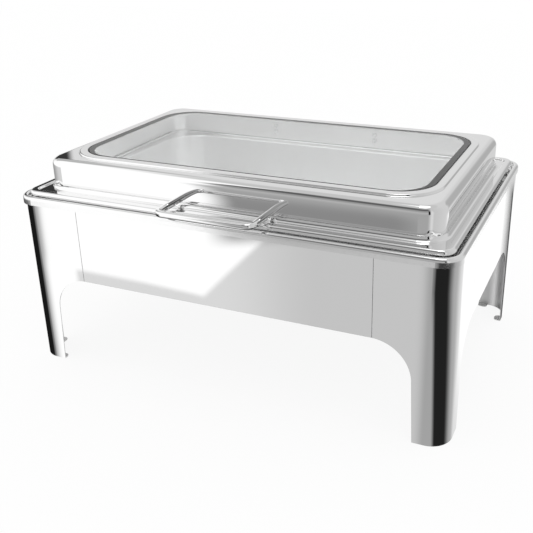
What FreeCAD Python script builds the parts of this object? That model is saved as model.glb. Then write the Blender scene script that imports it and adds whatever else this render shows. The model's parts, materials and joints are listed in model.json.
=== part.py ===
import FreeCAD, Part
import Sketcher
import math, os
from FreeCAD import Vector, Placement, Rotation

# Full-size chafing dish: a sheet-steel stand with four corner legs and four apron panels,
# a drop-in water pan with a rolled rim, a food pan, and a hinged lid with a glass window.
# Frame: +X right along the long side, +Y to the rear (hinge side), +Z up, origin on the floor
# under the middle of the dish. Millimetres.

doc = FreeCAD.newDocument("chafing_dish")

DIMS = [
    # stand
    ("stand_length", 600.0), ("stand_width", 396.0), ("stand_sheet", 1.2), ("stand_corner", 28.0),
    ("stand_top", 236.0), ("shelf_depth", 14.0),
    ("apron_bottom", 131.6), ("seam_half_x", 204.6), ("seam_half_y", 100.8), ("return_depth", 12.0),
    ("seam_gap", 0.05), ("seam_bend", 0.4), ("hem_depth", 7.0),
    ("arch_radius", 50.0), ("leg_inner_x", 257.2), ("leg_inner_y", 149.2), ("leg_taper", 3.6), ("leg_taper_side", 1.0),
    ("tab_depth", 10.5), ("tab_round", 5.6), ("tab_wide", 14.5),
    ("seam_screw_low", 156.0), ("seam_screw_high", 212.0), ("seam_screw_in", 7.0), ("screw_radius", 2.0),
    # water pan
    ("pan_sheet", 1.0), ("rim_half_x", 301.5), ("rim_half_y", 201.5), ("rim_corner", 27.0),
    ("rim_low", 233.4), ("rim_top", 244.2), ("bead_wide", 7.5), ("rib_corner", 24.0),
    ("gutter_top", 238.5), ("rib_out_x", 282.0), ("rib_out_y", 180.5), ("rib_top", 246.2), ("rib_wide", 13.5),
    ("ledge_top", 241.5), ("well_half_x", 257.5), ("well_half_y", 155.0), ("well_corner", 58.0),
    ("well_floor", 146.0),
    # food pan
    ("food_sheet", 0.8), ("food_flange_x", 265.0), ("food_flange_y", 162.5), ("food_flange_corner", 24.0),
    ("food_top", 245.4), ("food_lip", 3.5), ("food_half_x", 253.5), ("food_half_y", 151.0),
    ("food_corner", 56.0), ("food_depth", 65.0), ("food_draft", 5.0),
    # lid
    ("lid_sheet", 1.0), ("lip_half_x", 291.5), ("lip_half_y", 191.0), ("lip_corner", 17.5), ("lip_low", 243.8),
    ("brim_top", 247.5), ("brim_bead_top", 249.4), ("brim_flat_x", 281.5), ("brim_flat_y", 180.5), ("brim_flat_corner", 9.0),
    ("wall_half_x", 273.0), ("wall_half_y", 168.0), ("wall_corner", 28.0), ("wall_top", 289.2),
    ("crown_round", 10.0), ("brim_round", 5.5),
    ("ring_half_x", 257.0), ("ring_half_y", 147.5), ("ring_corner", 56.0), ("ring_top", 291.6),
    ("glass_half_x", 245.5), ("glass_half_y", 135.3), ("glass_corner", 46.0), ("glass_thick", 4.0),
    ("seal_wide", 1.4), ("window_ledge_x", 9.0), ("window_ledge_y", 4.0), ("glass_sink", 0.1),
    # handle
    ("handle_half", 68.6), ("handle_thick", 8.4), ("handle_tall", 7.8), ("handle_low", 253.0),
    ("handle_reach", 56.4), ("handle_bend", 14.2), ("handle_round", 3.2), ("handle_screw", 1.5),
    # hinge
    ("hinge_x", 84.0), ("axis_y", 216.9), ("axis_z", 250.5), ("pin_radius", 3.0), ("pin_play", 0.05), ("pin_head", 4.6),
    ("knuckle_radius", 7.0), ("knuckle_wide", 12.0), ("arm_plate_wide", 22.0), ("arm_plate", 3.0),
    ("arm_plate_low", 253.8), ("arm_plate_high", 274.0), ("arm_web", 10.0),
    ("arm_screw_low", 259.2), ("arm_screw_high", 268.4), ("arm_screw_radius", 1.75),
    ("cheek", 3.0), ("side_play", 0.35), ("damper_wide", 8.0),
    ("base_low", 230.0), ("base_front", 182.6), ("base_rear", 224.4), ("base_screw_y", 187.4),
    ("base_screw_gap", 15.0),
]
V = dict(DIMS)
sheet = doc.addObject("Spreadsheet::Sheet", "Dims")
for i, (name, value) in enumerate(DIMS, start=1):
    sheet.set("A%d" % i, name)
    sheet.set("B%d" % i, "%g" % value)
    sheet.setAlias("B%d" % i, name)
doc.recompute()


def num(expr):
    """The number an expression over the dimension names gives."""
    e = expr.replace("Dims.", "")
    total, sign, token = 0.0, 1.0, ""
    # expressions here are sums of products, such as "a - b + 2 * c"
    for part in e.replace("- ", "+ -").split("+ "):
        part = part.strip()
        if not part:
            continue
        product = 1.0
        for i, f in enumerate(part.replace("/ ", "* /").split("* ")):
            f = f.strip()
            if not f:
                continue
            inv = f.startswith("/")
            f = f.lstrip("/").strip()
            neg = f.startswith("-")
            f = f.lstrip("-").strip()
            v = V[f] if f in V else float(f)
            v = -v if neg else v
            product = product / v if inv else product * v
        total += product
    return total


def bind(expr):
    """The same expression with each dimension name pointing at the sheet."""
    out = []
    for word in expr.split(" "):
        core = word.lstrip("-")
        lead = word[: len(word) - len(core)]
        out.append(lead + ("Dims." + core if core in V else core))
    return " ".join(out)


def new_body(label):
    body = doc.addObject("PartDesign::Body", label)
    body.Label = label
    body.Placement = Placement()
    return body


def plane(body, role):
    return [o for o in body.Origin.OriginFeatures if o.Role == role][0]


class Sk:
    """A sketch on one of its body's own planes, raised along the plane's normal."""

    count = 0

    def __init__(self, body, role, level=None):
        Sk.count += 1
        self.o = body.newObject("Sketcher::SketchObject", "Sketch_%s_%d" % (body.Name, Sk.count))
        self.o.AttachmentSupport = [(plane(body, role), "")]
        self.o.MapMode = "FlatFace"
        self.n = 0
        if level is not None:
            self.o.AttachmentOffset = Placement(Vector(0, 0, num(level)), Rotation())
            self.o.setExpression(".AttachmentOffset.Base.z", bind(level))

    def con(self, kind, *args, expr=None):
        i = self.o.addConstraint(Sketcher.Constraint(kind, *args))
        if expr is not None:
            self.n += 1
            name = "size_%d" % self.n
            self.o.renameConstraint(i, name)
            self.o.setExpression("Constraints." + name, bind(expr))
        return i

    def at(self, geo, point, x, y):
        """Fixes one end of an edge at x, y, each an expression over the sheet."""
        for kind, e in (("DistanceX", x), ("DistanceY", y)):
            v = num(e)
            if abs(v) < 1e-9:
                if kind == "DistanceX":
                    self.con("PointOnObject", geo, point, -2)
                else:
                    self.con("PointOnObject", geo, point, -1)
            elif v > 0:
                self.con(kind, -1, 1, geo, point, v, expr=e)
            else:
                self.con(kind, geo, point, -1, 1, -v, expr=negate(e))

    def rounded(self, hx, hy, r):
        """A rectangle about the origin with rounded corners."""
        a, b, c = num(hx), num(hy), num(r)
        arc = lambda x, y, d: Part.ArcOfCircle(
            Part.Circle(Vector(x, y, 0), Vector(0, 0, 1), c), math.radians(d), math.radians(d + 90))
        line = lambda x0, y0, x1, y1: Part.LineSegment(Vector(x0, y0, 0), Vector(x1, y1, 0))
        g = self.o.addGeometry([
            line(-a + c, -b, a - c, -b), arc(a - c, -b + c, -90),
            line(a, -b + c, a, b - c), arc(a - c, b - c, 0),
            line(a - c, b, -a + c, b), arc(-a + c, b - c, 90),
            line(-a, b - c, -a, -b + c), arc(-a + c, -b + c, 180)])
        for k in range(8):
            self.con("Tangent", g[k], 2, g[(k + 1) % 8], 1)
        self.con("Horizontal", g[0])
        self.con("Horizontal", g[4])
        self.con("Vertical", g[2])
        self.con("Vertical", g[6])
        for k in (3, 5, 7):
            self.con("Equal", g[1], g[k])
        self.con("Radius", g[1], c, expr=r)
        self.con("DistanceX", -1, 1, g[2], 1, a, expr=hx)
        self.con("DistanceX", g[6], 1, -1, 1, a, expr=hx)
        self.con("DistanceY", -1, 1, g[4], 1, b, expr=hy)
        self.con("DistanceY", g[0], 1, -1, 1, b, expr=hy)
        return self

    def polygon(self, pts):
        """A closed outline through points whose coordinates are expressions. A third entry on a point is the
        radius, with its sign, of the arc that leaves it: positive turns left."""
        p = [(num(q[0]), num(q[1])) for q in pts]
        geo = []
        for k, q in enumerate(pts):
            a, b = p[k], p[(k + 1) % len(p)]
            if len(q) > 2 and q[2] is not None:
                r = num(q[2])
                geo.append(arc_between(a, b, r))
            else:
                geo.append(Part.LineSegment(Vector(a[0], a[1], 0), Vector(b[0], b[1], 0)))
        g = self.o.addGeometry(geo)
        n = len(g)
        start = []
        for k, q in enumerate(pts):
            ccw = len(q) > 2 and q[2] is not None and num(q[2]) < 0
            start.append(2 if ccw else 1)
        for k in range(n):
            self.con("Coincident", g[k], 3 - start[k], g[(k + 1) % n], start[(k + 1) % n])
        for k, q in enumerate(pts):
            self.at(g[k], start[k], q[0], q[1])
            if len(q) > 2 and q[2] is not None:
                e = q[2]
                v = num(e)
                self.con("Radius", g[k], abs(v), expr=e if v > 0 else negate(e))
        return self

    def circle(self, x, y, r):
        g = self.o.addGeometry(Part.Circle(Vector(num(x), num(y), 0), Vector(0, 0, 1), num(r)))
        self.at(g, 3, x, y)
        self.con("Radius", g, num(r), expr=r)
        return self


def arc_between(a, b, r):
    """The arc from a to b with radius |r|; r > 0 turns left on the way."""
    ax, ay = a
    bx, by = b
    mx, my = (ax + bx) / 2, (ay + by) / 2
    dx, dy = bx - ax, by - ay
    d = math.hypot(dx, dy)
    h = math.sqrt(max(r * r - d * d / 4, 0))
    nx, ny = -dy / d, dx / d
    s = 1 if r > 0 else -1
    cx, cy = mx + s * nx * h, my + s * ny * h
    a0, a1 = math.atan2(ay - cy, ax - cx), math.atan2(by - cy, bx - cx)
    if r < 0:
        a0, a1 = a1, a0
    while a1 < a0:
        a1 += 2 * math.pi
    return Part.ArcOfCircle(Part.Circle(Vector(cx, cy, 0), Vector(0, 0, 1), abs(r)), a0, a1)


def negate(expr):
    out = []
    flip = {"+": "-", "-": "+"}
    words = expr.split(" ")
    for k, w in enumerate(words):
        if k == 0:
            out.append(w[1:] if w.startswith("-") else "-" + w)
        else:
            out.append(flip.get(w, w))
    return " ".join(out)


def fail(what):
    raise SystemExit("part.py: " + what)


def pad(body, sk, length, symmetric=False, down=False, taper=None):
    """Adds sk's area times length; down grows against the sketch's normal."""
    f = body.newObject("PartDesign::Pad", "Pad_%s" % sk.o.Name)
    f.Profile = sk.o
    f.Length = num(length)
    f.setExpression("Length", bind(length))
    if symmetric:
        f.SideType = "Symmetric"
    f.Reversed = bool(down)
    if taper is not None:
        f.TaperAngle = num(taper)
        f.setExpression("TaperAngle", bind(taper))
    before = body.Shape.Volume if not body.Shape.isNull() else 0
    sk.o.Visibility = False
    doc.recompute()
    if body.Shape.isNull() or not body.Shape.isValid() or body.Shape.Volume <= before:
        fail("pad %s on %s added nothing (%s)" % (f.Name, body.Label, f.State))
    return f


def pocket(body, sk, length, symmetric=False, up=False, taper=None):
    """Cuts sk's area for length; up cuts along the sketch's normal."""
    f = body.newObject("PartDesign::Pocket", "Pocket_%s" % sk.o.Name)
    f.Profile = sk.o
    f.Length = num(length)
    f.setExpression("Length", bind(length))
    if symmetric:
        f.SideType = "Symmetric"
    if taper is not None:
        f.TaperAngle = num(taper)
        f.setExpression("TaperAngle", bind(taper))
    f.Reversed = bool(up)
    before = body.Shape.Volume
    doc.recompute()
    if body.Shape.isNull() or not body.Shape.isValid() or body.Shape.Volume >= before - 1e-6:
        fail("pocket %s on %s cut nothing (%s)" % (f.Name, body.Label, f.State))
    return f


def edges_where(body, test):
    tip = body.Tip
    found = []
    for k, e in enumerate(tip.Shape.Edges, start=1):
        pts = [e.valueAt(e.FirstParameter + (e.LastParameter - e.FirstParameter) * t) for t in (0.0, 0.5, 1.0)]
        if test(e, pts):
            found.append("Edge%d" % k)
    return found


def fillet(body, radius, test, need=1):
    """Rounds the edges of the last feature that pass the test."""
    names = edges_where(body, test)
    if len(names) < need:
        fail("fillet on %s found %d edges, needs %d" % (body.Label, len(names), need))
    tip = body.Tip
    f = body.newObject("PartDesign::Fillet", "Round_%s_%d" % (body.Name, len(body.Group)))
    f.Base = (tip, names)
    f.Radius = num(radius)
    f.setExpression("Radius", bind(radius))
    doc.recompute()
    if "Invalid" in f.State or f.Shape.isNull() or not f.Shape.isValid():
        fail("fillet %s on %s failed (%s)" % (radius, body.Label, f.State))
    return f


def level_loop(z, hx, hy, r, tol=0.03):
    """Edges at height z that lie on the rounded rectangle of half size hx, hy and corner r."""
    zz, a, b, c = num(z), num(hx), num(hy), num(r)

    def off(p):
        u, w = abs(p.x) - (a - c), abs(p.y) - (b - c)
        return math.hypot(max(u, 0), max(w, 0)) + min(max(u, w), 0) - c

    return lambda e, pts: all(abs(p.z - zz) < tol and abs(off(p)) < tol for p in pts)


parts = []


def done(body):
    parts.append(body)
    return body


# ---------------------------------------------------------------- stand legs
def make_leg(label, sx, sy):
    """One corner leg: a bent angle with quarter-arch cut-outs, seam returns, a top shelf and two foot tabs."""
    body = new_body(label)
    X = "" if sx > 0 else "-"
    Y = "" if sy > 0 else "-"

    def px(e):
        return e if sx > 0 else negate(e)

    def py(e):
        return e if sy > 0 else negate(e)

    wall = Sk(body, "XY_Plane").rounded("stand_length / 2", "stand_width / 2", "stand_corner")
    wall.rounded("stand_length / 2 - stand_sheet", "stand_width / 2 - stand_sheet", "stand_corner - stand_sheet")
    pad(body, wall, "stand_top")
    shelf = Sk(body, "XY_Plane", "stand_top").rounded("stand_length / 2", "stand_width / 2", "stand_corner")
    shelf.rounded("stand_length / 2 - shelf_depth", "stand_width / 2 - shelf_depth", "stand_corner - shelf_depth")
    pad(body, shelf, "stand_sheet")
    # keep the one corner between the seams
    keep = Sk(body, "XY_Plane", "-1.0")
    keep.polygon([(px("seam_half_x + seam_gap"), py("400.0")), (px("seam_half_x + seam_gap"), py("seam_half_y + seam_gap")),
                  (px("400.0"), py("seam_half_y + seam_gap")), (px("400.0"), py("-400.0")),
                  (px("-400.0"), py("-400.0")), (px("-400.0"), py("400.0"))])
    pocket(body, keep, "300.0", up=True)
    # returns at the two seams, screwed to the aprons' returns
    r1 = Sk(body, "XY_Plane", "apron_bottom")
    r1.polygon([(px("seam_half_x + seam_gap"), py("stand_width / 2")),
                (px("seam_half_x + seam_gap + stand_sheet"), py("stand_width / 2")),
                (px("seam_half_x + seam_gap + stand_sheet"), py("stand_width / 2 - return_depth")),
                (px("seam_half_x + seam_gap"), py("stand_width / 2 - return_depth"))])
    pad(body, r1, "stand_top - apron_bottom")
    r2 = Sk(body, "XY_Plane", "apron_bottom")
    r2.polygon([(px("stand_length / 2"), py("seam_half_y + seam_gap")),
                (px("stand_length / 2"), py("seam_half_y + seam_gap + stand_sheet")),
                (px("stand_length / 2 - return_depth"), py("seam_half_y + seam_gap + stand_sheet")),
                (px("stand_length / 2 - return_depth"), py("seam_half_y + seam_gap"))])
    pad(body, r2, "stand_top - apron_bottom")
    # quarter arches between the aprons' lower edges and the legs
    face = "XZ_Plane"
    a1 = Sk(body, face, "-stand_width / 2" if sy > 0 else "stand_width / 2")
    s = 1 if sx > 0 else -1
    a1.polygon([(px("seam_half_x - 10.0"), "apron_bottom"),
                (px("leg_inner_x - leg_taper - arch_radius"), "apron_bottom", "-arch_radius" if sx > 0 else "arch_radius"),
                (px("leg_inner_x - leg_taper"), "apron_bottom - arch_radius"),
                (px("leg_inner_x"), "-1.0"), (px("seam_half_x - 10.0"), "-1.0")])
    pocket(body, a1, "60.0", symmetric=True)
    a2 = Sk(body, "YZ_Plane", "stand_length / 2" if sx > 0 else "-stand_length / 2")
    a2.polygon([(py("seam_half_y - 10.0"), "apron_bottom"),
                (py("leg_inner_y - leg_taper_side - arch_radius"), "apron_bottom", "-arch_radius" if sy > 0 else "arch_radius"),
                (py("leg_inner_y - leg_taper_side"), "apron_bottom - arch_radius"),
                (py("leg_inner_y"), "-1.0"), (py("seam_half_y - 10.0"), "-1.0")])
    pocket(body, a2, "60.0", symmetric=True)
    # foot tabs, bent inward under the flat stretch of each wing
    t1 = Sk(body, "XY_Plane")
    t1.polygon([(px("leg_inner_x"), py("stand_width / 2")),
                (px("leg_inner_x"), py("stand_width / 2 - tab_depth + tab_round"), "tab_round" if sx * sy > 0 else "-tab_round"),
                (px("leg_inner_x + tab_round"), py("stand_width / 2 - tab_depth")),
                (px("leg_inner_x + tab_wide - tab_round"), py("stand_width / 2 - tab_depth"), "tab_round" if sx * sy > 0 else "-tab_round"),
                (px("leg_inner_x + tab_wide"), py("stand_width / 2 - tab_depth + tab_round")),
                (px("leg_inner_x + tab_wide"), py("stand_width / 2"))])
    pad(body, t1, "stand_sheet")
    t2 = Sk(body, "XY_Plane")
    t2.polygon([(px("stand_length / 2"), py("leg_inner_y")),
                (px("stand_length / 2 - tab_depth + tab_round"), py("leg_inner_y"), "-tab_round" if sx * sy > 0 else "tab_round"),
                (px("stand_length / 2 - tab_depth"), py("leg_inner_y + tab_round")),
                (px("stand_length / 2 - tab_depth"), py("leg_inner_y + tab_wide - tab_round"), "-tab_round" if sx * sy > 0 else "tab_round"),
                (px("stand_length / 2 - tab_depth + tab_round"), py("leg_inner_y + tab_wide")),
                (px("stand_length / 2"), py("leg_inner_y + tab_wide"))])
    pad(body, t2, "stand_sheet")
    # screw holes through the returns
    h1 = Sk(body, "YZ_Plane", ("seam_half_x" if sx > 0 else "-seam_half_x"))
    for z in ("seam_screw_low", "seam_screw_high"):
        h1.circle(py("stand_width / 2 - seam_screw_in"), z, "screw_radius + 0.15")
    pocket(body, h1, "8.0", symmetric=True)
    h2 = Sk(body, "XZ_Plane", ("-seam_half_y" if sy > 0 else "seam_half_y"))
    for z in ("seam_screw_low", "seam_screw_high"):
        h2.circle(px("stand_length / 2 - seam_screw_in"), z, "screw_radius + 0.15")
    pocket(body, h2, "8.0", symmetric=True)
    # soft outer bends: seams, foot bend, top shelf
    hx, hy = V["stand_length"] / 2, V["stand_width"] / 2
    seam_x, seam_y = V["seam_half_x"] + V["seam_gap"], V["seam_half_y"] + V["seam_gap"]
    fillet(body, "seam_bend", lambda e, p: all(
        abs(abs(q.x) - seam_x) < 0.02 and abs(abs(q.y) - hy) < 0.02 and q.z > 100 for q in p)
        or all(abs(abs(q.y) - seam_y) < 0.02 and abs(abs(q.x) - hx) < 0.02 and q.z > 100 for q in p), 2)
    return done(body)


make_leg("leg_front_right", 1, -1)
make_leg("leg_front_left", -1, -1)
make_leg("leg_rear_right", 1, 1)
make_leg("leg_rear_left", -1, 1)


# ---------------------------------------------------------------- stand aprons
def make_apron(label, axis, side, notches=False):
    """One flat apron panel between two legs, with returns at both ends, a top shelf and a small lower hem."""
    body = new_body(label)
    if axis == "x":
        P = lambda u, w: (u, w if side > 0 else negate(w))
        seam, face = "seam_half_x", "stand_width / 2"
    else:
        P = lambda u, w: (w if side > 0 else negate(w), u)
        seam, face = "seam_half_y", "stand_length / 2"
    def box(u0, u1, w0, w1, z, height):
        sk = Sk(body, "XY_Plane", z)
        sk.polygon([P(u0, w0), P(u1, w0), P(u1, w1), P(u0, w1)])
        pad(body, sk, height)
    box(negate(seam), seam, face, face + " - stand_sheet", "apron_bottom", "stand_top - apron_bottom")
    box(negate(seam), seam, face, face + " - shelf_depth", "stand_top", "stand_sheet")
    box(negate(seam), negate(seam) + " + stand_sheet", face, face + " - return_depth", "apron_bottom", "stand_top - apron_bottom")
    box(seam + " - stand_sheet", seam, face, face + " - return_depth", "apron_bottom", "stand_top - apron_bottom")
    box(negate(seam) + " + stand_sheet", seam + " - stand_sheet", face, face + " - hem_depth", "apron_bottom", "stand_sheet")
    # screw holes in the two returns
    for s in (1, -1):
        if axis == "x":
            hole = Sk(body, "YZ_Plane", "seam_half_x - 0.6" if s > 0 else "-seam_half_x + 0.6")
            for z in ("seam_screw_low", "seam_screw_high"):
                y = "stand_width / 2 - seam_screw_in"
                hole.circle(y if side > 0 else negate(y), z, "screw_radius + 0.15")
        else:
            hole = Sk(body, "XZ_Plane", "-seam_half_y + 0.6" if s > 0 else "seam_half_y - 0.6")
            for z in ("seam_screw_low", "seam_screw_high"):
                x = "stand_length / 2 - seam_screw_in"
                hole.circle(x if side > 0 else negate(x), z, "screw_radius + 0.15")
        pocket(body, hole, "8.0", symmetric=True)
    if notches:
        # open notches where the hinge brackets pass
        for s in (1, -1):
            n = Sk(body, "XY_Plane", "base_low - 5.5")
            c = "hinge_x" if s > 0 else "-hinge_x"
            n.polygon([(c + " - 21.0", "stand_width / 2 - shelf_depth - 2.0"), (c + " + 21.0", "stand_width / 2 - shelf_depth - 2.0"),
                       (c + " + 21.0", "stand_width / 2 + 2.0"), (c + " - 21.0", "stand_width / 2 + 2.0")])
            pocket(body, n, "20.0", up=True)
    lim_u = V["seam_half_x"] if axis == "x" else V["seam_half_y"]
    lim_w = V["stand_width"] / 2 if axis == "x" else V["stand_length"] / 2
    uu = (lambda q: q.x) if axis == "x" else (lambda q: q.y)
    ww = (lambda q: q.y) if axis == "x" else (lambda q: q.x)
    fillet(body, "seam_bend", lambda e, p: all(
        abs(abs(uu(q)) - lim_u) < 0.02 and abs(abs(ww(q)) - lim_w) < 0.02 for q in p) and abs(p[0].z - p[2].z) > 50, 2)
    fillet(body, "seam_bend", lambda e, p: all(
        abs(q.z - V["apron_bottom"]) < 0.02 and abs(abs(ww(q)) - lim_w) < 0.02 for q in p), 1)
    return done(body)


make_apron("front_panel", "x", -1)
make_apron("rear_panel", "x", 1, notches=True)
make_apron("left_panel", "y", -1)
make_apron("right_panel", "y", 1)


# ---------------------------------------------------------------- seam screws and nuts
def fastener_group(label, items):
    """Identical fasteners as one compound of separate solids."""
    f = doc.addObject("Part::Feature", label)
    f.Label = label
    f.Shape = Part.makeCompound(items)
    f.Placement = Placement()
    return done(f)


def hexagon(across, height, base, direction, hole=0.0):
    """A hexagonal nut across its flats, standing on base along direction, with an optional bore."""
    r = across / math.sqrt(3)
    pts = [Vector(r * math.cos(math.radians(60 * k + 30)), r * math.sin(math.radians(60 * k + 30)), 0) for k in range(7)]
    solid = Part.Face(Part.makePolygon(pts)).extrude(Vector(0, 0, height))
    crown = Part.makeCylinder(r * 2, height * 0.5).fuse(Part.makeCone(r + 0.05 + height * 0.4, across / 2 + 0.05, height * 0.5, Vector(0, 0, height * 0.5)))
    solid = solid.common(crown)
    if hole:
        solid = solid.cut(Part.makeCylinder(hole, height + 2, Vector(0, 0, -1)))
    solid.Placement = Placement(base, Rotation(Vector(0, 0, 1), direction))
    return solid


def pan_screw(radius, length, head_r, head_h, seat, direction):
    """A domed-head screw: direction points from the head's seat along the shank."""
    head = Part.makeCylinder(head_r, head_h, Vector(0, 0, -head_h))
    head = head.makeFillet(head_h * 0.55, [e for e in head.Edges if abs(e.BoundBox.ZMin + head_h) < 1e-6 and abs(e.BoundBox.ZMax + head_h) < 1e-6])
    cross = Part.makeBox(head_r * 1.1, 0.8, 1.0, Vector(-head_r * 0.55, -0.4, -head_h - 0.2)).fuse(
        Part.makeBox(0.8, head_r * 1.1, 1.0, Vector(-0.4, -head_r * 0.55, -head_h - 0.2)))
    head = head.cut(cross)
    shank = Part.makeCylinder(radius, length)
    solid = head.fuse(shank).removeSplitter()
    solid.Placement = Placement(seat, Rotation(Vector(0, 0, 1), direction))
    return solid


hx, hy = V["stand_length"] / 2, V["stand_width"] / 2
screws, nuts = [], []
in_y = hy - V["seam_screw_in"]
in_x = hx - V["seam_screw_in"]
for z in (V["seam_screw_low"], V["seam_screw_high"]):
    for sx in (1, -1):
        for sy in (1, -1):
            # on the front and rear seams the screw runs along X, from the leg's return into the apron's
            seat = Vector(sx * (V["seam_half_x"] + V["seam_gap"] + V["stand_sheet"]), sy * in_y, z)
            screws.append(pan_screw(V["screw_radius"], 7.0, 3.8, 2.6, seat, Vector(-sx, 0, 0)))
            nuts.append(hexagon(7.0, 3.2, Vector(sx * (V["seam_half_x"] - V["stand_sheet"]), sy * in_y, z), Vector(-sx, 0, 0), V["screw_radius"]))
            seat = Vector(sx * in_x, sy * (V["seam_half_y"] + V["seam_gap"] + V["stand_sheet"]), z)
            screws.append(pan_screw(V["screw_radius"], 7.0, 3.8, 2.6, seat, Vector(0, -sy, 0)))
            nuts.append(hexagon(7.0, 3.2, Vector(sx * in_x, sy * (V["seam_half_y"] - V["stand_sheet"]), z), Vector(0, -sy, 0), V["screw_radius"]))
fastener_group("seam_screws", screws)
fastener_group("seam_nuts", nuts)


# ---------------------------------------------------------------- water pan
def ring(body, level, outer, inner):
    """A sketch of the band between two rounded rectangles, each given as half x, half y, corner."""
    return Sk(body, "XY_Plane", level).rounded(*outer).rounded(*inner)


def grown(half_x, half_y, corner, by):
    return (half_x + by, half_y + by, corner + by)


RIM = ("rim_half_x", "rim_half_y", "rim_corner")
BEAD = grown(*RIM, " - bead_wide")
RIB = ("rib_out_x", "rib_out_y", "rib_corner")
RIB_IN = ("rib_out_x - rib_wide", "rib_out_y - rib_wide", "rib_corner")
WELL = ("well_half_x", "well_half_y", "well_corner")


def make_water_pan():
    body = new_body("water_pan")
    # rim block, gutter, raised rib, ledge for the food pan, and the well that holds the water
    pad(body, Sk(body, "XY_Plane", "rim_low").rounded(*RIM), "rim_top - rim_low")
    pocket(body, Sk(body, "XY_Plane", "rim_top + 1.0").rounded(*BEAD), "rim_top + 1.0 - gutter_top")
    pad(body, Sk(body, "XY_Plane", "gutter_top - 1.0").rounded(*RIB), "rib_top - gutter_top + 1.0")
    pocket(body, Sk(body, "XY_Plane", "rib_top + 1.0").rounded(*RIB_IN), "rib_top + 1.0 - ledge_top")
    pad(body, Sk(body, "XY_Plane", "well_floor - pan_sheet").rounded(*grown(*WELL, " + pan_sheet")),
        "rim_low - well_floor + pan_sheet + 1.0")
    pocket(body, Sk(body, "XY_Plane", "ledge_top + 1.0").rounded(*WELL), "ledge_top + 1.0 - well_floor")
    # hollow under the sheet, so that it is one thickness everywhere
    skin = grown(*RIM, " - pan_sheet")
    wall = grown(*WELL, " + pan_sheet")
    pocket(body, ring(body, "rim_low - 0.5", skin, wall), "gutter_top - pan_sheet - rim_low + 0.5", up=True)
    pocket(body, ring(body, "gutter_top - pan_sheet - 0.5", skin, grown(*BEAD, " + pan_sheet")),
           "rim_top - gutter_top + 0.5", up=True)
    pocket(body, ring(body, "gutter_top - pan_sheet - 0.5", grown(*RIB, " - pan_sheet"), grown(*RIB_IN, " + pan_sheet")),
           "rib_top - gutter_top + 0.5", up=True)
    pocket(body, ring(body, "gutter_top - pan_sheet - 0.5", grown(*RIB_IN, " + 1.5"), wall),
           "ledge_top - gutter_top + 0.5", up=True)
    # bends, inside of each one first
    fillet(body, "3.2", level_loop("rim_top - pan_sheet", *skin), 8)
    fillet(body, "4.2", level_loop("rim_top", *RIM), 8)
    fillet(body, "1.8", level_loop("rim_top - pan_sheet", *grown(*BEAD, " + pan_sheet")), 8)
    fillet(body, "2.8", level_loop("rim_top", *BEAD), 8)
    fillet(body, "1.6", level_loop("rib_top - pan_sheet", *grown(*RIB, " - pan_sheet")), 8)
    fillet(body, "2.6", level_loop("rib_top", *RIB), 8)
    fillet(body, "2.0", level_loop("rib_top", *RIB_IN), 8)
    fillet(body, "1.6", level_loop("gutter_top", *BEAD), 8)
    fillet(body, "1.6", level_loop("gutter_top", *RIB), 8)
    fillet(body, "1.0", level_loop("ledge_top - pan_sheet", *wall), 8)
    fillet(body, "2.0", level_loop("ledge_top", *WELL), 8)
    fillet(body, "11.0", level_loop("well_floor - pan_sheet", *wall), 8)
    fillet(body, "10.0", level_loop("well_floor", *WELL), 8)
    # screw holes for the two hinge brackets, through the gutter floor
    for c in ("hinge_x + 4.0", "-hinge_x - 4.0"):
        h = Sk(body, "XY_Plane", "gutter_top + 0.5")
        h.circle(c + " - base_screw_gap / 2", "base_screw_y", "screw_radius + 0.1")
        h.circle(c + " + base_screw_gap / 2", "base_screw_y", "screw_radius + 0.1")
        pocket(body, h, "pan_sheet + 1.0")
    return done(body)


make_water_pan()


# ---------------------------------------------------------------- food pan
def make_food_pan():
    body = new_body("food_pan")
    flange = ("food_flange_x", "food_flange_y", "food_flange_corner")
    mouth = ("food_half_x", "food_half_y", "food_corner")
    pad(body, Sk(body, "XY_Plane", "food_top - food_lip").rounded(*flange), "food_lip")
    pad(body, Sk(body, "XY_Plane", "food_top - food_lip").rounded(*grown(*mouth, " + 0.5")),
        "food_depth - food_lip", down=True, taper="-food_draft")
    pocket(body, Sk(body, "XY_Plane", "food_top").rounded(*mouth), "food_depth - food_sheet", taper="-food_draft")
    pocket(body, ring(body, "food_top - food_lip - 0.2", grown(*flange, " - food_sheet"), grown(*mouth, " + food_sheet")),
           "food_lip - food_sheet + 0.2", up=True)
    fillet(body, "1.4", level_loop("food_top - food_sheet", *grown(*flange, " - food_sheet")), 8)
    fillet(body, "2.2", level_loop("food_top", *flange), 8)
    fillet(body, "1.6", level_loop("food_top", *mouth), 8)
    low = num("food_top - food_depth")
    fillet(body, "9.2", lambda e, p: all(abs(q.z - low) < 0.02 for q in p), 8)
    fillet(body, "8.4", lambda e, p: all(abs(q.z - low - V["food_sheet"]) < 0.02 for q in p), 8)
    return done(body)


make_food_pan()


# ---------------------------------------------------------------- lid
LIP = ("lip_half_x", "lip_half_y", "lip_corner")
FLAT = ("brim_flat_x", "brim_flat_y", "brim_flat_corner")
WALL = ("wall_half_x", "wall_half_y", "wall_corner")
CROWN = ("ring_half_x", "ring_half_y", "ring_corner")
GLASS = ("glass_half_x", "glass_half_y", "glass_corner")


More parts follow.
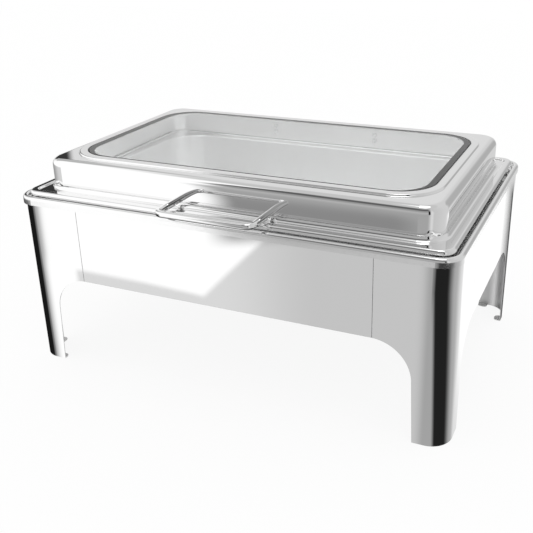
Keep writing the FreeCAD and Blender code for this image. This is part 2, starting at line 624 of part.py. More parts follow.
def make_lid():
    body = new_body("lid_shell")
    pad(body, Sk(body, "XY_Plane", "lip_low").rounded(*LIP), "brim_bead_top - lip_low")
    pocket(body, Sk(body, "XY_Plane", "brim_bead_top + 1.0").rounded(*FLAT), "brim_bead_top + 1.0 - brim_top")
    pad(body, Sk(body, "XY_Plane", "brim_top - 1.0").rounded(*WALL), "wall_top - brim_top + 1.0")
    pad(body, Sk(body, "XY_Plane", "wall_top - 1.0").rounded(*CROWN), "ring_top - wall_top + 1.0")
    # seat for the window, and the opening under it
    seat = grown(*GLASS, " + seal_wide")
    pocket(body, Sk(body, "XY_Plane", "ring_top + 1.0").rounded(*seat), "glass_thick + glass_sink + 1.0")
    pocket(body, Sk(body, "XY_Plane", "ring_top + 1.0").rounded(
        "glass_half_x - window_ledge_x", "glass_half_y - window_ledge_y", "glass_corner - 5.0"), "60.0")
    # hollow inside, one sheet thick
    inner = grown(*WALL, " - lid_sheet")
    under = "ring_top - glass_thick - glass_sink - lid_sheet"
    pocket(body, Sk(body, "XY_Plane", "lip_low - 1.0").rounded(*inner), under + " - lip_low + 1.0", up=True)
    pocket(body, ring(body, under + " - 0.5", inner, grown(*seat, " + lid_sheet")),
           "wall_top - ring_top + glass_thick + glass_sink + 0.5", up=True)
    pocket(body, ring(body, "wall_top - lid_sheet - 0.5", grown(*CROWN, " - lid_sheet"), grown(*seat, " + lid_sheet")),
           "ring_top - wall_top + 0.5", up=True)
    pocket(body, Sk(body, "XY_Plane", "lip_low - 1.0").rounded(*grown(*LIP, " - lid_sheet")),
           "brim_top - lid_sheet - lip_low + 1.0", up=True)
    pocket(body, ring(body, "brim_top - lid_sheet - 0.5", grown(*LIP, " - lid_sheet"), grown(*FLAT, " + lid_sheet")),
           "brim_bead_top - brim_top + 0.5", up=True)
    # bends, inside of each one first
    fillet(body, "3.0", level_loop("brim_bead_top - lid_sheet", *grown(*LIP, " - lid_sheet")), 8)
    fillet(body, "4.0", level_loop("brim_bead_top", *LIP), 8)
    fillet(body, "1.2", level_loop("brim_bead_top", *FLAT), 8)
    fillet(body, "crown_round - lid_sheet", level_loop("wall_top - lid_sheet", *inner), 8)
    fillet(body, "crown_round", level_loop("wall_top", *WALL), 8)
    fillet(body, "brim_round", level_loop("brim_top", *WALL), 8)
    fillet(body, "3.0", level_loop("brim_top - lid_sheet", *inner), 8)
    fillet(body, "1.3", level_loop("ring_top", *CROWN), 8)
    fillet(body, "0.9", level_loop("wall_top", *CROWN), 8)
    fillet(body, "0.5", level_loop("ring_top", *seat), 8)
    # screw holes: two for the handle in front, two for each hinge arm behind
    h = Sk(body, "XZ_Plane", "wall_half_y")
    for c in ("handle_half - handle_thick / 2", "-handle_half + handle_thick / 2"):
        h.circle(c, "handle_low + handle_tall / 2", "handle_screw + 0.15")
    pocket(body, h, "8.0", symmetric=True)
    h = Sk(body, "XZ_Plane", "-wall_half_y")
    for c in ("hinge_x", "-hinge_x"):
        for z in ("arm_screw_low", "arm_screw_high"):
            h.circle(c, z, "arm_screw_radius + 0.15")
    pocket(body, h, "8.0", symmetric=True)
    return done(body)


make_lid()


def make_window():
    body = new_body("window_glass")
    pad(body, Sk(body, "XY_Plane", "ring_top - glass_thick - glass_sink").rounded(*GLASS), "glass_thick")
    fillet(body, "0.6", level_loop("ring_top - glass_sink", *GLASS), 8)
    done(body)
    body = new_body("window_gasket")
    pad(body, ring(body, "ring_top - glass_thick - glass_sink", grown(*GLASS, " + seal_wide"), GLASS), "glass_thick - 0.2")
    done(body)


make_window()


# ---------------------------------------------------------------- handle
def make_handle():
    body = new_body("lid_handle")
    wall = "-wall_half_y"
    sk = Sk(body, "XY_Plane", "handle_low")
    sk.polygon([
        ("-handle_half", wall),
        ("-handle_half", wall + " - handle_reach + handle_bend", "handle_bend"),
        ("-handle_half + handle_bend", wall + " - handle_reach"),
        ("handle_half - handle_bend", wall + " - handle_reach", "handle_bend"),
        ("handle_half", wall + " - handle_reach + handle_bend"),
        ("handle_half", wall),
        ("handle_half - handle_thick", wall),
        ("handle_half - handle_thick", wall + " - handle_reach + handle_bend", "-handle_bend + handle_thick"),
        ("handle_half - handle_bend", wall + " - handle_reach + handle_thick"),
        ("-handle_half + handle_bend", wall + " - handle_reach + handle_thick", "-handle_bend + handle_thick"),
        ("-handle_half + handle_thick", wall + " - handle_reach + handle_bend"),
        ("-handle_half + handle_thick", wall)])
    pad(body, sk, "handle_tall")
    bores = Sk(body, "XZ_Plane", "wall_half_y - 1.0")
    for c in ("handle_half - handle_thick / 2", "-handle_half + handle_thick / 2"):
        bores.circle(c, "handle_low + handle_tall / 2", "handle_screw + 0.02")
    pocket(body, bores, "11.0", up=True)
    lo, hi = num("handle_low"), num("handle_low + handle_tall")
    fillet(body, "handle_round", lambda e, p: all(abs(q.z - hi) < 0.02 for q in p) and not all(abs(q.y - p[0].y) < 0.02 and abs(q.y + V["wall_half_y"]) < 0.1 for q in p), 10)
    fillet(body, "handle_round", lambda e, p: all(abs(q.z - lo) < 0.02 for q in p) and not all(abs(q.y - p[0].y) < 0.02 and abs(q.y + V["wall_half_y"]) < 0.1 for q in p), 10)
    return done(body)


make_handle()

yw = V["wall_half_y"]
zc = V["handle_low"] + V["handle_tall"] / 2
xc = V["handle_half"] - V["handle_thick"] / 2
in_wall = -yw + V["lid_sheet"]
fastener_group("handle_screws", [
    pan_screw(V["handle_screw"], 9.6, 2.9, 2.0, Vector(s * xc, in_wall + 0.6, zc), Vector(0, -1, 0)) for s in (-1, 1)])
fastener_group("handle_washers", [
    Part.makeCylinder(3.5, 0.6, Vector(s * xc, in_wall, zc), Vector(0, 1, 0)).cut(
        Part.makeCylinder(1.7, 3.0, Vector(s * xc, in_wall - 1, zc), Vector(0, 1, 0))) for s in (-1, 1)])


# ---------------------------------------------------------------- hinge
def make_hinge(name, s):
    """One hinge at x = s * hinge_x: the arm that rides with the lid, and the bracket, pin, clip and damper of the pan."""
    X = "hinge_x" if s > 0 else "-hinge_x"

    arm = new_body("hinge_arm_" + name)
    web = Sk(arm, "YZ_Plane", X)
    web.polygon([
        ("wall_half_y + 1.0", "arm_plate_low + 1.0"), ("axis_y - 14.0", "axis_z + 0.9"), ("axis_y - 5.6", "axis_z - 3.4"),
        ("axis_y + 4.6", "axis_z + 4.6"), ("wall_half_y + 11.0", "arm_plate_high - 1.2"), ("wall_half_y + 1.0", "arm_plate_high - 1.2")])
    pad(arm, web, "arm_web", symmetric=True)
    pad(arm, Sk(arm, "YZ_Plane", X).circle("axis_y", "axis_z", "knuckle_radius"), "knuckle_wide", symmetric=True)
    plate = Sk(arm, "XZ_Plane", "-wall_half_y")
    plate.polygon([
        (X + " - arm_plate_wide / 2", "arm_plate_low"), (X + " + arm_plate_wide / 2", "arm_plate_low"),
        (X + " + arm_plate_wide / 2", "arm_plate_high"), (X + " - arm_plate_wide / 2", "arm_plate_high")])
    pad(arm, plate, "arm_plate", down=True)
    pocket(arm, Sk(arm, "YZ_Plane", X).circle("axis_y", "axis_z", "pin_radius + pin_play"), "40.0", symmetric=True)
    taps = Sk(arm, "XZ_Plane", "-wall_half_y + 1.0")
    for z in ("arm_screw_low", "arm_screw_high"):
        taps.circle(X, z, "arm_screw_radius + 0.02")
    pocket(arm, taps, "10.5", up=False)
    xa, pw = num(X), V["arm_plate_wide"] / 2
    fillet(arm, "2.5", lambda e, p: all(abs(abs(q.x - xa) - pw) < 0.02 for q in p) and abs(p[0].y - p[2].y) > 2.5
           and abs(p[0].z - p[2].z) < 0.01, 4)
    done(arm)

    br = new_body("hinge_bracket_" + name)
    inner, outer = "-knuckle_wide / 2 - side_play - cheek", "knuckle_wide / 2 + side_play + damper_wide + cheek"

    def at(e):
        """An x measured from the hinge's middle, growing away from the dish's middle."""
        return shift(X, e, s)

    base = Sk(br, "XY_Plane", "base_low")
    base.polygon([(at(inner), "base_front"), (at(outer), "base_front"), (at(outer), "base_rear"), (at(inner), "base_rear")])
    pad(br, base, "cheek")
    for mid in ("-knuckle_wide / 2 - side_play - cheek / 2", "knuckle_wide / 2 + side_play + damper_wide + cheek / 2"):
        ck = Sk(br, "YZ_Plane", at(mid))
        r = "knuckle_radius - 0.2"
        ck.polygon([
            ("axis_y + " + r, "base_low + 1.0"), ("axis_y + " + r, "axis_z", "knuckle_radius - 0.2"),
            ("axis_y", "axis_z + " + r, "knuckle_radius - 0.2"), ("axis_y - knuckle_radius + 0.2", "axis_z"),
            ("axis_y - knuckle_radius + 0.2", "base_low + 1.0")])
        pad(br, ck, "cheek", symmetric=True)
    bore = Sk(br, "YZ_Plane", at("4.0")).circle("axis_y", "axis_z", "pin_radius + pin_play")
    pocket(br, bore, "60.0", symmetric=True)
    holes = Sk(br, "XY_Plane", "base_low + cheek + 0.5")
    for g in ("4.0 - base_screw_gap / 2", "4.0 + base_screw_gap / 2"):
        holes.circle(at(g), "base_screw_y", "screw_radius + 0.1")
    pocket(br, holes, "cheek + 1.0")
    yf = V["base_front"]
    fillet(br, "3.0", lambda e, p: all(abs(q.y - yf) < 0.02 and abs(q.x - p[0].x) < 0.01 for q in p) and abs(p[0].z - p[2].z) > 2.5, 2)
    done(br)

    damper = new_body("hinge_damper_" + name)
    mid = "knuckle_wide / 2 + side_play + damper_wide / 2"
    pad(damper, Sk(damper, "YZ_Plane", at(mid)).circle("axis_y", "axis_z", "knuckle_radius"), "damper_wide - 0.1", symmetric=True)
    foot = Sk(damper, "YZ_Plane", at(mid))
    foot.polygon([("axis_y - 4.0", "base_low + cheek"), ("axis_y + 4.0", "base_low + cheek"),
                  ("axis_y + 4.0", "axis_z - 2.0"), ("axis_y - 4.0", "axis_z - 2.0")])
    pad(damper, foot, "damper_wide - 0.5", symmetric=True)
    pocket(damper, Sk(damper, "YZ_Plane", at(mid)).circle("axis_y", "axis_z", "pin_radius + pin_play"), "40.0", symmetric=True)
    done(damper)


def shift(X, e, s):
    """X plus s times the expression e."""
    t = e if s > 0 else negate(e)
    return X + (" - " + t[1:] if t.startswith("-") else " + " + t)


make_hinge("left", -1)
make_hinge("right", 1)

ay, az = V["axis_y"], V["axis_z"]
pins, clips, base_screws, base_nuts, spacers = [], [], [], [], []
k_in = V["knuckle_wide"] / 2 + V["side_play"] + V["cheek"]
k_out = V["knuckle_wide"] / 2 + V["side_play"] + V["damper_wide"] + V["cheek"]
for s in (-1, 1):
    x0 = s * V["hinge_x"]
    d = Vector(s, 0, 0)
    head = Part.makeCylinder(V["pin_head"], 1.6, Vector(x0 - s * (k_in + 1.6), ay, az), d)
    head = head.makeFillet(0.6, [e for e in head.Edges if abs(e.BoundBox.XLength) < 1e-6 and abs(e.BoundBox.XMin - (x0 - s * (k_in + 1.6))) < 1e-4])
    shaft = Part.makeCylinder(V["pin_radius"], k_in + k_out + 2.2, Vector(x0 - s * k_in, ay, az), d)
    groove = Part.makeCylinder(V["pin_radius"] + 1, 0.8, Vector(x0 + s * (k_out + 0.25), ay, az), d).cut(
        Part.makeCylinder(2.3, 0.8, Vector(x0 + s * (k_out + 0.25), ay, az), d))
    pins.append(head.fuse(shaft).cut(groove).removeSplitter())
    clip = Part.makeCylinder(5.2, 0.6, Vector(x0 + s * (k_out + 0.35), ay, az), d).cut(
        Part.makeCylinder(2.32, 0.6, Vector(x0 + s * (k_out + 0.35), ay, az), d))
    slot = Part.makeBox(2.0, 3.0, 8.0, Vector(x0 + s * (k_out + 0.6) - 1.0, ay - 1.5, az))
    clips.append(clip.cut(slot))
    for g in (4.0 - V["base_screw_gap"] / 2, 4.0 + V["base_screw_gap"] / 2):
        x = x0 + s * g
        y = V["base_screw_y"]
        base_screws.append(pan_screw(V["screw_radius"], 12.2, 3.8, 2.4, Vector(x, y, V["gutter_top"]), Vector(0, 0, -1)))
        base_nuts.append(hexagon(7.0, 3.2, Vector(x, y, V["base_low"]), Vector(0, 0, -1), V["screw_radius"]))
        low = V["base_low"] + V["cheek"]
        high = V["gutter_top"] - V["pan_sheet"]
        spacers.append(Part.makeCylinder(4.0, high - low, Vector(x, y, low)).cut(
            Part.makeCylinder(V["screw_radius"] + 0.1, high - low + 2, Vector(x, y, low - 1))))
fastener_group("hinge_pins", pins)
fastener_group("pin_clips", clips)
fastener_group("bracket_screws", base_screws)
fastener_group("bracket_nuts", base_nuts)
fastener_group("bracket_spacers", spacers)
fastener_group("arm_screws", [
    pan_screw(V["arm_screw_radius"], 9.5, 3.3, 2.2, Vector(s * V["hinge_x"], yw - V["lid_sheet"], z), Vector(0, 1, 0))
    for s in (-1, 1) for z in (V["arm_screw_low"], V["arm_screw_high"])])

# ---------------------------------------------------------------- check and write
doc.recompute()
for o in doc.Objects:
    state = [t for t in o.State if t in ("Invalid", "Error")]
    if state:
        fail("%s is %s" % (o.Label, state))
os.makedirs("parts", exist_ok=True)
names = set()
for o in parts:
    if o.Shape.isNull() or not o.Shape.isValid():
        fail("%s has no valid shape" % o.Label)
    solids = o.Shape.Solids
    if not solids or any(q.Volume <= 0 for q in solids):
        fail("%s has no solid" % o.Label)
    if o.Label in names:
        fail("two parts are called %s" % o.Label)
    names.add(o.Label)
    o.Shape.exportStep("parts/%s.step" % o.Label)
    b = o.Shape.BoundBox
    print("%-22s %2d solids %9.1f mm3  x %.2f %.2f  y %.2f %.2f  z %.2f %.2f" % (
        o.Label, len(solids), o.Shape.Volume, b.XMin, b.XMax, b.YMin, b.YMax, b.ZMin, b.ZMax))
print("%d parts" % len(parts))
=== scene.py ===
import json
import math
import bpy
from mathutils import Matrix, Vector

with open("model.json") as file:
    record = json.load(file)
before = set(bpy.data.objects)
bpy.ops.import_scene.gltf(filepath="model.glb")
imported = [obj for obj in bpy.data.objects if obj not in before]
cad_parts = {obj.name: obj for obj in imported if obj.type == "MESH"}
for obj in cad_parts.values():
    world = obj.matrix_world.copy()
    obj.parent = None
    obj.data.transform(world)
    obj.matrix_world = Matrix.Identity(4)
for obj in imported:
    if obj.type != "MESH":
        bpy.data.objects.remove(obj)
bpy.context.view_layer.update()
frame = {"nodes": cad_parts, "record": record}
node = frame["nodes"]
scene = bpy.context.scene
scene.view_settings.view_transform = "Standard"
scene.view_settings.look = "None"
scene.view_settings.exposure = 0.0
scene.view_settings.gamma = 1.0


# ---------------------------------------------------------------- camera
AZ, EL, ROLL = 0.42074, 0.39030, -0.01764
EYE = Vector((0.45079, -0.96020, 0.58370))
FOCAL, CX, CY, SIDE = 783.93, 295.17, 239.87, 533.0

back = Vector((math.sin(AZ) * math.cos(EL), -math.cos(AZ) * math.cos(EL), math.sin(EL)))
right = (-back).cross(Vector((0, 0, 1))).normalized()
up = right.cross(-back)
r2 = right * math.cos(ROLL) + up * math.sin(ROLL)
u2 = up * math.cos(ROLL) - right * math.sin(ROLL)
data = bpy.data.cameras.new("view")
camera = bpy.data.objects.new("view", data)
scene.collection.objects.link(camera)
turn = Matrix((r2, u2, back)).transposed().to_4x4()
camera.matrix_world = Matrix.Translation(EYE) @ turn
data.sensor_width = 36.0
data.lens = FOCAL * 36.0 / SIDE
data.shift_x = (SIDE / 2 - CX) / SIDE
data.shift_y = (CY - SIDE / 2) / SIDE
data.clip_start, data.clip_end = 0.01, 60.0
scene.camera = camera


# ---------------------------------------------------------------- node helpers
class Graph:
    """Short names for building a node tree."""

    def __init__(self, tree):
        self.tree = tree
        tree.nodes.clear()

    def add(self, kind, inputs=None, **props):
        n = self.tree.nodes.new(kind)
        for k, v in props.items():
            setattr(n, k, v)
        for k, v in (inputs or {}).items():
            self.put(n.inputs[k], v)
        return n

    def put(self, socket, value):
        if isinstance(value, bpy.types.NodeSocket):
            self.tree.links.new(value, socket)
        else:
            socket.default_value = value

    def math(self, op, a, b=0.0, c=0.0, clamp=False):
        n = self.add("ShaderNodeMath", operation=op, use_clamp=clamp)
        for s, v in zip(n.inputs, (a, b, c)):
            self.put(s, v)
        return n.outputs[0]

    def smooth(self, x, low, high, a=0.0, b=1.0):
        """a below low, b above high, and a soft step between them."""
        n = self.add("ShaderNodeMapRange", interpolation_type="SMOOTHSTEP")
        for k, v in (("Value", x), ("From Min", low), ("From Max", high), ("To Min", a), ("To Max", b)):
            self.put(n.inputs[k], v)
        return n.outputs[0]

    def mul(self, *xs):
        out = xs[0]
        for x in xs[1:]:
            out = self.math("MULTIPLY", out, x)
        return out

    def over(self, below, value, mask):
        """below, with value laid over it where the mask is 1."""
        n = self.add("ShaderNodeMix", data_type="FLOAT", clamp_factor=True)
        self.put(n.inputs[0], mask)
        self.put(n.inputs[2], below)
        self.put(n.inputs[3], value)
        return n.outputs[0]


# ---------------------------------------------------------------- studio
world = bpy.data.worlds.new("studio")
scene.world = world
world.use_nodes = True
g = Graph(world.node_tree)
where = g.add("ShaderNodeSeparateXYZ", {0: g.add("ShaderNodeTexCoord").outputs["Generated"]})
x, y, z = where.outputs
DEG = 57.29578
az = g.math("MULTIPLY", g.math("ARCTAN2", x, g.math("MULTIPLY", y, -1.0)), DEG)     # 0 towards the front, + to the right
el = g.math("MULTIPLY", g.math("ARCSINE", z), DEG)


def band(v, a, b, c, d):
    """1 between b and c, falling softly to 0 at a and d."""
    return g.mul(g.smooth(v, a, b), g.smooth(v, c, d, 1.0, 0.0))


WHITE = 1.12
# Upper half: white soft boxes in front, a light grey wall behind the dish, a grey ceiling with a lamp in its middle
wide = g.math("ABSOLUTE", az)
around = g.math("ADD", az, g.math("MULTIPLY", g.math("LESS_THAN", az, 0.0), 360.0))     # 0 to 360, without a step at the rear
room = g.over(WHITE, 0.76, g.mul(g.smooth(el, 2.0, 9.0), g.smooth(wide, 95.0, 120.0)))
# grey wall from the right round to the rear, darker towards its far end
room = g.over(room, g.smooth(around, 50.0, 140.0, 0.60, 0.68), band(around, 44.0, 62.0, 178.0, 192.0))
room = g.over(room, 0.46, g.mul(band(around, 140.0, 156.0, 164.0, 176.0), band(el, -12.0, -5.0, 20.0, 28.0)))
room = g.over(room, 0.60, g.smooth(el, 52.0, 62.0))
room = g.over(room, 3.0, g.smooth(el, 74.0, 80.0))
# a black card standing at the rear left
room = g.over(room, 0.04, g.mul(band(az, -139.8, -139.2, -122.0, -114.0), band(el, 6.0, 9.0, 22.0, 28.0)))
# grey screen at the front right; a dark gap shows between it and the ceiling's edge
tilt = g.math("MULTIPLY", g.math("MAXIMUM", g.math("SUBTRACT", el, 20.0), 0.0), 0.45)
screen = g.mul(g.smooth(g.math("ADD", az, tilt), -31.5, -28.5), g.smooth(az, 28.0, 68.0, 1.0, 0.0))
grey = g.smooth(el, -21.5, -11.0, 0.27, 0.40)
grey = g.over(grey, 0.40, g.mul(g.smooth(az, -16.5, -13.0), g.smooth(el, -10.0, -16.0)))
grey = g.over(grey, 0.48, g.smooth(el, -8.0, 8.0))
grey = g.over(grey, 0.34, g.smooth(el, 12.0, 24.0))
grey = g.over(grey, 0.12, g.smooth(el, 30.0, 42.0))
room = g.over(room, grey, g.mul(screen, g.smooth(el, 54.0, 64.0, 1.0, 0.0)))
# slim black card standing at the front right, beside the screen
room = g.over(room, 0.012, g.mul(band(az, 31.0, 33.0, 39.0, 42.0), band(el, -13.0, -9.0, 30.0, 37.0)))
# grey shade at the left, low under the soft boxes and again higher up
room = g.over(room, 0.50, g.mul(band(az, -140.0, -130.0, -108.0, -92.0), band(el, 22.0, 30.0, 48.0, 56.0)))
room = g.over(room, g.smooth(az, -115.0, -50.0, 0.34, 0.72), g.mul(band(az, -150.0, -130.0, -49.0, -42.0), g.smooth(el, 2.0, -6.0)))

# Lower half: the table. White sheet in front, its right edge slanting; light grey beyond that edge
slant = g.math("ADD", az, g.math("MULTIPLY", el, -1.31))
low = g.over(WHITE, g.smooth(az, -31.0, -22.0, 0.76, 0.60), g.smooth(slant, 2.2, 3.2))
low = g.over(low, 0.76, g.mul(g.smooth(g.math("ADD", el, g.math("MULTIPLY", az, 0.30)), -35.4, -35.9), band(az, -41.4, -40.9, -32.0, -31.0)))
low = g.over(low, 0.40, g.smooth(az, -14.5, -8.0))
# black card lying at the near right, drawn further right close to the dish
near = g.math("SUBTRACT", az, g.math("MULTIPLY", g.math("MAXIMUM", g.math("SUBTRACT", -26.0, el), 0.0), 3.0))
low = g.over(low, 0.016, g.smooth(near, -9.0, 10.0))
low = g.over(low, 0.44, g.smooth(near, 56.0, 98.0))
low = g.over(low, 0.78, g.smooth(near, 98.0, 138.0))
low = g.over(low, WHITE, g.smooth(near, 138.0, 164.0))
low = g.over(low, 0.05, band(around, 171.7, 172.5, 173.0, 177.0))
room = g.over(room, low, g.mul(g.smooth(el, -21.6, -23.0), g.smooth(az, -62.0, -56.0)))
room = g.over(room, low, g.mul(g.smooth(el, -17.4, -18.8), band(around, 120.0, 150.0, 184.0, 204.0)))
# black card at the left, behind the white sheet
left = g.smooth(az, -68.0, -46.0, 0.010, 0.42)
room = g.over(room, left, g.mul(band(az, -136.0, -122.0, -50.0, -43.2), g.smooth(el, -17.2, -18.4)))
# the table in the dish's own shade
room = g.over(room, 0.10, g.smooth(el, -46.0, -66.0))

light = g.add("ShaderNodeLightPath")
# the lamp over the dish reaches the inside through the window
room = g.over(room, g.smooth(wide, 70.0, 130.0, 1.75, 1.45), light.outputs["Is Transmission Ray"])
even = g.add("ShaderNodeBackground", {"Color": (1.0, 1.0, 1.0, 1.0), "Strength": 1.0})
shaped = g.add("ShaderNodeBackground", {"Color": (1.0, 1.0, 1.0, 1.0)})
g.put(shaped.inputs["Strength"], room)
plain = g.math("MAXIMUM", light.outputs["Is Camera Ray"], light.outputs["Is Diffuse Ray"])
both = g.add("ShaderNodeMixShader", {0: plain, 1: shaped.outputs[0], 2: even.outputs[0]})
g.add("ShaderNodeOutputWorld", {"Surface": both.outputs[0]})

mesh = bpy.data.meshes.new("floor")
mesh.from_pydata([(-4, -4, 0), (4, -4, 0), (4, 4, 0), (-4, 4, 0)], [], [(0, 1, 2, 3)])
floor = bpy.data.objects.new("floor", mesh)
scene.collection.objects.link(floor)
floor.location.z = -0.0004
floor.visible_glossy = False
paper = bpy.data.materials.new("white_table")
paper.use_nodes = True
g = Graph(paper.node_tree)
grain = g.add("ShaderNodeTexNoise", {"Scale": 30.0, "Detail": 3.0})
tone = g.add("ShaderNodeMixRGB", {"Fac": grain.outputs["Fac"], "Color1": (0.95, 0.95, 0.95, 1), "Color2": (0.97, 0.97, 0.97, 1)})
matt = g.add("ShaderNodeBsdfDiffuse", {"Color": tone.outputs[0]})
glow = g.add("ShaderNodeEmission", {"Color": (1, 1, 1, 1), "Strength": 1.0})
mix = g.add("ShaderNodeMixShader", {0: 0.90, 1: matt.outputs[0], 2: glow.outputs[0]})
g.add("ShaderNodeOutputMaterial", {"Surface": mix.outputs[0]})
mesh.materials.append(paper)


# ---------------------------------------------------------------- materials
def new_material(name):
    m = bpy.data.materials.new(name)
    m.use_nodes = True
    return m, Graph(m.node_tree)


def place(g, scale=(1.0, 1.0, 1.0)):
    """Object coordinates in metres, stretched."""
    m = g.add("ShaderNodeMapping", {"Vector": g.add("ShaderNodeTexCoord").outputs["Object"], "Scale": scale})
    return m.outputs[0]


def clamp01(g, v):
    return g.math("ADD", v, 0.0, clamp=True)


def eased(g, v, start, width, slope):
    """Height that falls away past start: the slope grows from 0 to its full value over width, then stays."""
    t = g.math("DIVIDE", g.math("SUBTRACT", v, start), width)
    s = clamp01(g, t)
    cube = g.math("MULTIPLY", g.math("MULTIPLY", s, s), g.math("MULTIPLY", s, -slope * width / 3.0))
    rest = g.math("MULTIPLY", g.math("MAXIMUM", g.math("SUBTRACT", t, 1.0), 0.0), -slope * width)
    return g.math("ADD", cube, rest)


def steel(name, tone, rough, spread=0.012, wave=0.0, wave_size=9.0, brush=(40.0, 40.0, 40.0), fine=0.0,
          inner=None, centre=0.0, within=None, soft_edges=()):
    """Stainless steel. The roughness carries the polish marks and the bump the slow waves of the sheet.
    inner is the roughness of the side facing the object's middle, where the sheet is left satin;
    within limits it to the inside of a box of that half length and half width.
    soft_edges are (axis, start, width, slope): a flat face that starts to bend before its rounded edge."""
    m, g = new_material(name)
    b = g.add("ShaderNodeBsdfPrincipled", {"Metallic": 1.0}, distribution="MULTI_GGX")
    coord = g.add("ShaderNodeTexCoord")
    here = coord.outputs["Object"]
    cloud = g.add("ShaderNodeTexNoise", {"Vector": here, "Scale": 14.0, "Detail": 4.0, "Roughness": 0.6})
    col = g.add("ShaderNodeMixRGB", {"Fac": cloud.outputs["Fac"], "Color1": (tone - 0.006,) * 3 + (1,), "Color2": (tone + 0.006,) * 3 + (1,)})
    g.put(b.inputs["Base Color"], col.outputs[0])
    stretched = g.add("ShaderNodeMapping", {"Vector": here, "Scale": brush})
    marks = g.add("ShaderNodeTexNoise", {"Vector": stretched.outputs[0], "Scale": 8.0, "Detail": 5.0, "Roughness": 0.65})
    r = g.smooth(marks.outputs["Fac"], 0.3, 0.7, max(rough - spread, 0.0), rough + spread)
    if inner is not None:
        away = g.add("ShaderNodeVectorMath", {0: here, 1: (0.0, 0.0, centre)}, operation="SUBTRACT")
        facing = g.add("ShaderNodeVectorMath", {0: away.outputs[0], 1: coord.outputs["Normal"]}, operation="DOT_PRODUCT")
        side = g.smooth(facing.outputs["Value"], -0.002, 0.002, 1.0, 0.0)
        if within:
            place_xyz = g.add("ShaderNodeSeparateXYZ", {0: here})
            for axis, limit in enumerate(within):
                side = g.mul(side, g.math("LESS_THAN", g.math("ABSOLUTE", place_xyz.outputs[axis]), limit))
        r = g.over(r, g.smooth(marks.outputs["Fac"], 0.3, 0.7, inner - 0.05, inner + 0.05), side)
    g.put(b.inputs["Roughness"], r)
    last = None
    if soft_edges:
        parts = g.add("ShaderNodeSeparateXYZ", {0: here})
        h = None
        for axis, start, width, slope in soft_edges:
            v = parts.outputs[axis]
            if axis < 2:
                v = g.math("ABSOLUTE", v)
            e = eased(g, v, start, width, slope)
            h = e if h is None else g.math("ADD", h, e)
        last = g.add("ShaderNodeBump", {"Strength": 1.0, "Distance": 1.0, "Height": h}).outputs[0]
    if wave:
        slow = g.add("ShaderNodeTexNoise", {"Vector": here, "Scale": wave_size, "Detail": 1.0, "Roughness": 0.4})
        bump = g.add("ShaderNodeBump", {"Strength": 1.0, "Distance": wave, "Height": slow.outputs["Fac"]})
        if last:
            g.put(bump.inputs["Normal"], last)
        last = bump.outputs[0]
    if fine:
        bump = g.add("ShaderNodeBump", {"Strength": 1.0, "Distance": fine, "Height": marks.outputs["Fac"]})
        if last:
            g.put(bump.inputs["Normal"], last)
        last = bump.outputs[0]
    if last:
        g.put(b.inputs["Normal"], last)
    g.add("ShaderNodeOutputMaterial", {"Surface": b.outputs[0]})
    return m


stand_steel = steel("stand_mirror_steel", 0.905, 0.020, wave=0.00008, wave_size=7.0, inner=0.42, centre=0.12,
                    soft_edges=((0, 0.252, 0.020, 0.05), (1, 0.150, 0.020, 0.05)))
lid_steel = steel("lid_mirror_steel", 0.905, 0.022, wave=0.00006, wave_size=8.0, inner=0.34, centre=0.21,
                  within=(0.2726, 0.1676), soft_edges=((2, 0.262, 0.017, 0.07),))
rim_steel = steel("pan_mirror_steel", 0.905, 0.110, spread=0.02, wave=0.00004, wave_size=9.0, inner=0.30, centre=0.21,
                  within=(0.2680, 0.1630))
handle_steel = steel("handle_steel", 0.905, 0.035, wave=0.00002, wave_size=30.0)
pan_steel = steel("pan_satin_steel", 0.93, 0.36, spread=0.05, wave=0.00010, wave_size=9.0)
satin = steel("satin_steel", 0.72, 0.26, spread=0.06, brush=(30.0, 400.0, 400.0), fine=0.00001)
screw = steel("screw_steel", 0.66, 0.22, spread=0.05, brush=(300.0, 300.0, 300.0), fine=0.00001)

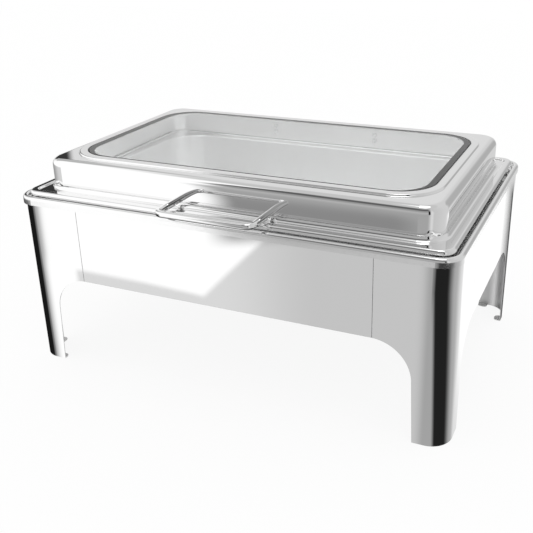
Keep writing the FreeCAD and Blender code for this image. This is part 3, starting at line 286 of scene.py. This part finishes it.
glass, g = new_material("window_glass")
b = g.add("ShaderNodeBsdfPrincipled", {"Base Color": (0.975, 0.985, 0.982, 1), "IOR": 1.5, "Transmission Weight": 1.0})
film = g.add("ShaderNodeTexNoise", {"Vector": place(g), "Scale": 5.0, "Detail": 3.0})
r = g.add("ShaderNodeMapRange", {"Value": film.outputs["Fac"], "From Min": 0.35, "From Max": 0.75, "To Min": 0.0, "To Max": 0.012})
g.put(b.inputs["Roughness"], r.outputs[0])
g.add("ShaderNodeOutputMaterial", {"Surface": b.outputs[0]})


def moulded(name, dark, light, rough, grain, depth):
    """Moulded rubber or plastic with a fine grain."""
    m, g = new_material(name)
    b = g.add("ShaderNodeBsdfPrincipled", {"Specular IOR Level": 0.4})
    here = place(g)
    n = g.add("ShaderNodeTexNoise", {"Vector": here, "Scale": grain, "Detail": 4.0})
    col = g.add("ShaderNodeMixRGB", {"Fac": n.outputs["Fac"], "Color1": dark + (1,), "Color2": light + (1,)})
    g.put(b.inputs["Base Color"], col.outputs[0])
    r = g.add("ShaderNodeMapRange", {"Value": n.outputs["Fac"], "To Min": rough - 0.06, "To Max": rough + 0.06})
    g.put(b.inputs["Roughness"], r.outputs[0])
    bump = g.add("ShaderNodeBump", {"Strength": 0.35, "Distance": depth, "Height": n.outputs["Fac"]})
    g.put(b.inputs["Normal"], bump.outputs[0])
    g.add("ShaderNodeOutputMaterial", {"Surface": b.outputs[0]})
    return m


rubber = moulded("gasket_rubber", (0.040, 0.040, 0.041), (0.060, 0.060, 0.061), 0.55, 900.0, 0.0001)
plastic = moulded("damper_plastic", (0.018, 0.018, 0.019), (0.032, 0.032, 0.034), 0.42, 1400.0, 0.0001)

LOOK = {"polished_steel": stand_steel, "pan_steel": pan_steel, "window_glass": glass, "gasket_rubber": rubber,
        "fastener_steel": screw, "hinge_steel": satin, "damper_plastic": plastic}
slot_of = {s["node"]: s["material_slot"] for s in frame["record"]["subparts"]}
for name, o in node.items():
    m = {"lid_shell": lid_steel, "water_pan": rim_steel, "lid_handle": handle_steel}.get(name, LOOK[slot_of[name]])
    if not o.material_slots:
        o.data.materials.append(m)
    for s in o.material_slots:
        s.material = m
